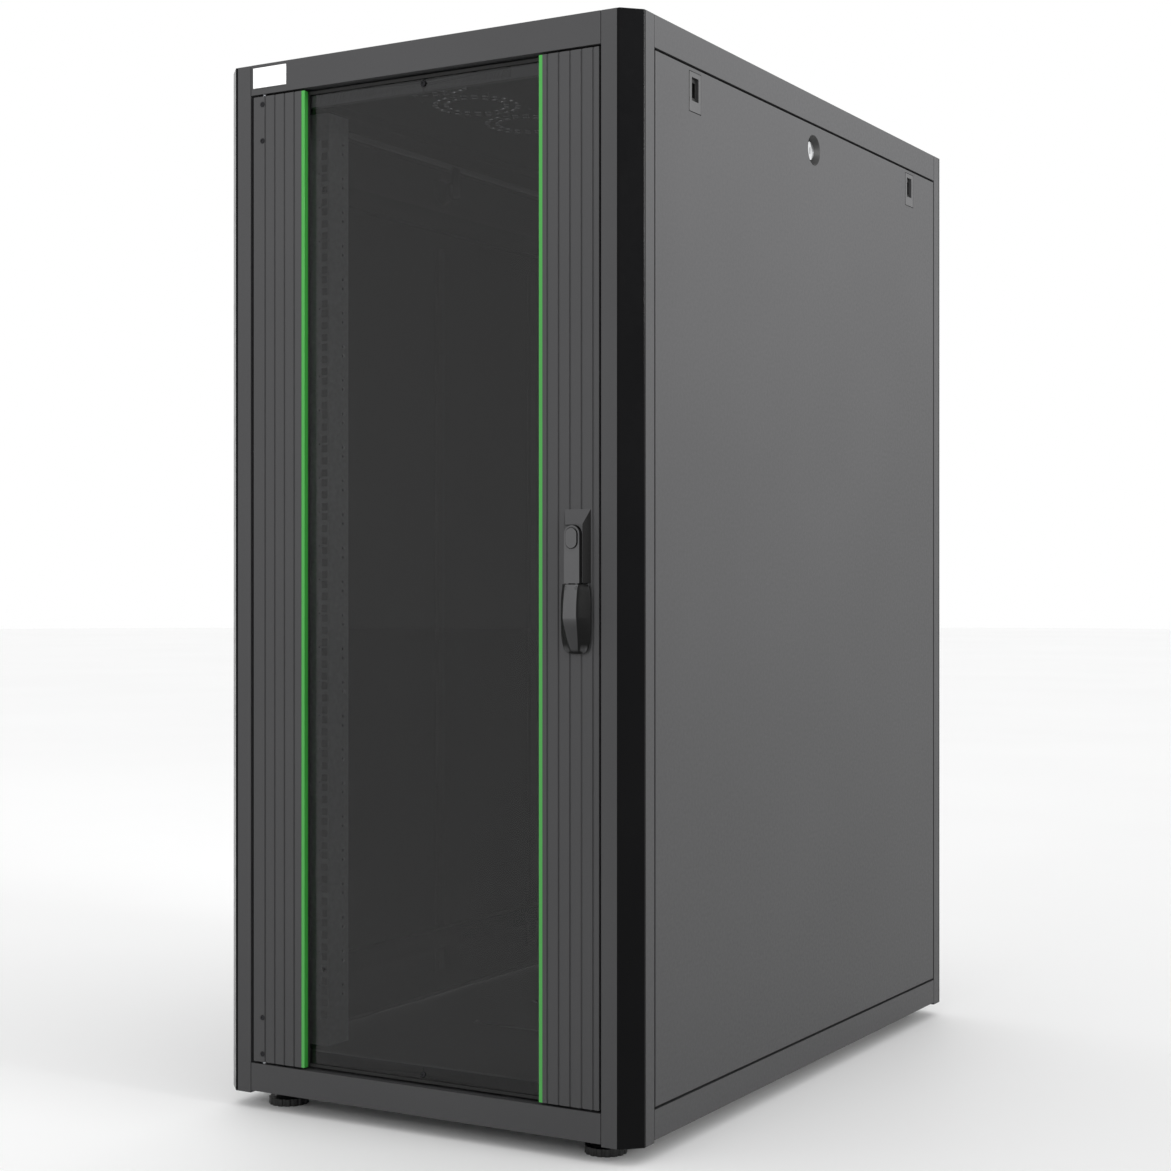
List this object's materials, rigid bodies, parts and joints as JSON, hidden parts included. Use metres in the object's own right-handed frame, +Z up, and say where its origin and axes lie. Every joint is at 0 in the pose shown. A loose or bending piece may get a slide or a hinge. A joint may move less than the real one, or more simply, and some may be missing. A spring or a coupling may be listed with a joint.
{
  "type": "network server rack cabinet",
  "caption": "Floor-standing 19 inch network cabinet with a framed smoked-glass front door, swing handle, steel rear door, lift-off latched side panels and levelling feet",
  "frame": {"origin": "on the floor under the centre of the overall box, handle and rear lock included", "axes": "+Z up, -Y out of the glass front door, +X to the right seen from the front"},
  "size_m": [0.6, 1.024, 1.32],
  "materials": {
    "painted_grey": "fine textured powder coat, satin",
    "trim_black": "glossy black",
    "inner_grey": "satin powder coat",
    "zinc_steel": "zinc plated",
    "rail_steel": "galvanised sheet",
    "bar_aluminium": "mill finish extrusion",
    "chrome_lock": "polished",
    "brush_black": "bristles in a moulded holder",
    "badge_white": "blank white label",
    "column_grey": "powder coated extrusion",
    "accent_green": "coloured strip, semi gloss",
    "smoked_glass": "smoked tempered glass",
    "seal_black": "black glazing seal",
    "screw_black": "blackened",
    "black_plastic": "moulded black",
    "lever_grey": "painted die casting",
    "housing_grey": "moulded in the panel colour"
  },
  "bodies": {
    "frame": {"corner_posts": "painted_grey", "corner_trims": "trim_black", "cross_beams": "painted_grey", "side_beams": "painted_grey", "foot_brackets": "inner_grey", "foot_nuts": "zinc_steel", "roof_panel": "inner_grey", "floor_panel": "inner_grey", "cable_covers": "inner_grey", "cable_brushes": "brush_black", "depth_rails": "rail_steel", "front_rails": "rail_steel", "rear_rails": "rail_steel", "frame_bolts": "zinc_steel", "badge": "badge_white", "hinge_bushes": "zinc_steel"},
    "front_door": {"column_left": "column_grey", "column_right": "column_grey", "door_bars": "bar_aluminium", "green_strips": "accent_green", "glass_pane": "smoked_glass", "glass_gasket": "seal_black", "hinge_blocks": "zinc_steel", "hinge_pins": "zinc_steel", "door_screws": "screw_black", "rod_guides": "black_plastic", "handle_base": "black_plastic"},
    "handle": {"handle_hub": "lever_grey", "handle_pinion": "zinc_steel"},
    "grip": {"handle_grip": "lever_grey", "lever_pin": "zinc_steel"},
    "key_barrel": {"lock_cylinder": "chrome_lock"},
    "dust_cover": {"lock_cover": "lever_grey"},
    "top_rod": {"rod_top": "zinc_steel"},
    "bottom_rod": {"rod_bottom": "zinc_steel"},
    "rear_door": {"rear_skin": "painted_grey", "rear_stiffeners": "inner_grey", "rear_hinge_blocks": "zinc_steel", "rear_hinge_pins": "zinc_steel", "rear_lock_body": "chrome_lock"},
    "rear_key": {"rear_lock_core": "chrome_lock"},
    "left_panel": {"side_panel_left": "painted_grey", "side_stiffeners_left": "inner_grey", "latch_housings_left": "housing_grey", "side_lock_left": "painted_grey"},
    "right_panel": {"side_panel_right": "painted_grey", "side_stiffeners_right": "inner_grey", "latch_housings_right": "housing_grey", "side_lock_right": "painted_grey"},
    "left_key": {"side_core_left": "chrome_lock"},
    "right_key": {"side_core_right": "chrome_lock"},
    "slide_front_left": {"latch_slide_front_left": "black_plastic"},
    "slide_rear_left": {"latch_slide_rear_left": "black_plastic"},
    "slide_front_right": {"latch_slide_front_right": "black_plastic"},
    "slide_rear_right": {"latch_slide_rear_right": "black_plastic"},
    "foot_fl": {"foot_front_left": "black_plastic"},
    "foot_fr": {"foot_front_right": "black_plastic"},
    "foot_rl": {"foot_rear_left": "black_plastic"},
    "foot_rr": {"foot_rear_right": "black_plastic"}
  },
  "joints": [
    {"name": "front_door_hinge", "type": "hinge", "parent": "frame", "child": "front_door", "pos_m": [-0.239, -0.483, 0.67], "axis": [0, 0, -1], "range_deg": [0, 115]},
    {"name": "handle_swing", "type": "hinge", "parent": "front_door", "child": "handle", "pos_m": [0.224, -0.502, 0.721], "axis": [0, 1, 0], "range_deg": [0, 90]},
    {"name": "grip_pull", "type": "hinge", "parent": "handle", "child": "grip", "pos_m": [0.224, -0.503, 0.658], "axis": [-1, 0, 0], "range_deg": [0, 30]},
    {"name": "key_turn", "type": "hinge", "parent": "handle", "child": "key_barrel", "pos_m": [0.224, -0.502, 0.713], "axis": [0, 1, 0], "range_deg": [0, 90]},
    {"name": "cover_turn", "type": "hinge", "parent": "handle", "child": "dust_cover", "pos_m": [0.224, -0.505, 0.7235], "axis": [0, 1, 0], "range_deg": [0, 100]},
    {"name": "top_rod_slide", "type": "slide", "parent": "front_door", "child": "top_rod", "axis": [0, 0, -1], "range_m": [0, 0.01415]},
    {"name": "bottom_rod_slide", "type": "slide", "parent": "front_door", "child": "bottom_rod", "axis": [0, 0, 1], "range_m": [0, 0.01415]},
    {"name": "rear_door_hinge", "type": "hinge", "parent": "frame", "child": "rear_door", "pos_m": [0.239, 0.499, 0.67], "axis": [0, 0, -1], "range_deg": [0, 115]},
    {"name": "rear_key_turn", "type": "hinge", "parent": "rear_door", "child": "rear_key", "pos_m": [-0.219, 0.508, 0.67], "axis": [0, -1, 0], "range_deg": [0, 90]},
    {"name": "left_panel_off", "type": "slide", "parent": "frame", "child": "left_panel", "axis": [-1, 0, 0], "range_m": [0, 0.2]},
    {"name": "left_key_turn", "type": "hinge", "parent": "left_panel", "child": "left_key", "pos_m": [-0.29, 0.008, 1.246], "axis": [1, 0, 0], "range_deg": [0, 90]},
    {"name": "front_left_latch", "type": "slide", "parent": "left_panel", "child": "slide_front_left", "axis": [0, 0, -1], "range_m": [0, 0.008], "stiffness_N_per_m": 400, "springref_m": -0.004},
    {"name": "rear_left_latch", "type": "slide", "parent": "left_panel", "child": "slide_rear_left", "axis": [0, 0, -1], "range_m": [0, 0.008], "stiffness_N_per_m": 400, "springref_m": -0.004},
    {"name": "right_panel_off", "type": "slide", "parent": "frame", "child": "right_panel", "axis": [1, 0, 0], "range_m": [0, 0.2]},
    {"name": "right_key_turn", "type": "hinge", "parent": "right_panel", "child": "right_key", "pos_m": [0.29, 0.008, 1.246], "axis": [1, 0, 0], "range_deg": [0, 90]},
    {"name": "front_right_latch", "type": "slide", "parent": "right_panel", "child": "slide_front_right", "axis": [0, 0, -1], "range_m": [0, 0.008], "stiffness_N_per_m": 400, "springref_m": -0.004},
    {"name": "rear_right_latch", "type": "slide", "parent": "right_panel", "child": "slide_rear_right", "axis": [0, 0, -1], "range_m": [0, 0.008], "stiffness_N_per_m": 400, "springref_m": -0.004},
    {"name": "foot_fl_screw", "type": "slide", "parent": "frame", "child": "foot_fl", "axis": [0, 0, -1], "range_m": [0, 0.02]},
    {"name": "foot_fr_screw", "type": "slide", "parent": "frame", "child": "foot_fr", "axis": [0, 0, -1], "range_m": [0, 0.02]},
    {"name": "foot_rl_screw", "type": "slide", "parent": "frame", "child": "foot_rl", "axis": [0, 0, -1], "range_m": [0, 0.02]},
    {"name": "foot_rr_screw", "type": "slide", "parent": "frame", "child": "foot_rr", "axis": [0, 0, -1], "range_m": [0, 0.02]}
  ],
  "couplings": [
    {"joint": "top_rod_slide", "follows": "handle_swing", "m_per_rad": 0.009},
    {"joint": "bottom_rod_slide", "follows": "handle_swing", "m_per_rad": 0.009}
  ]
}
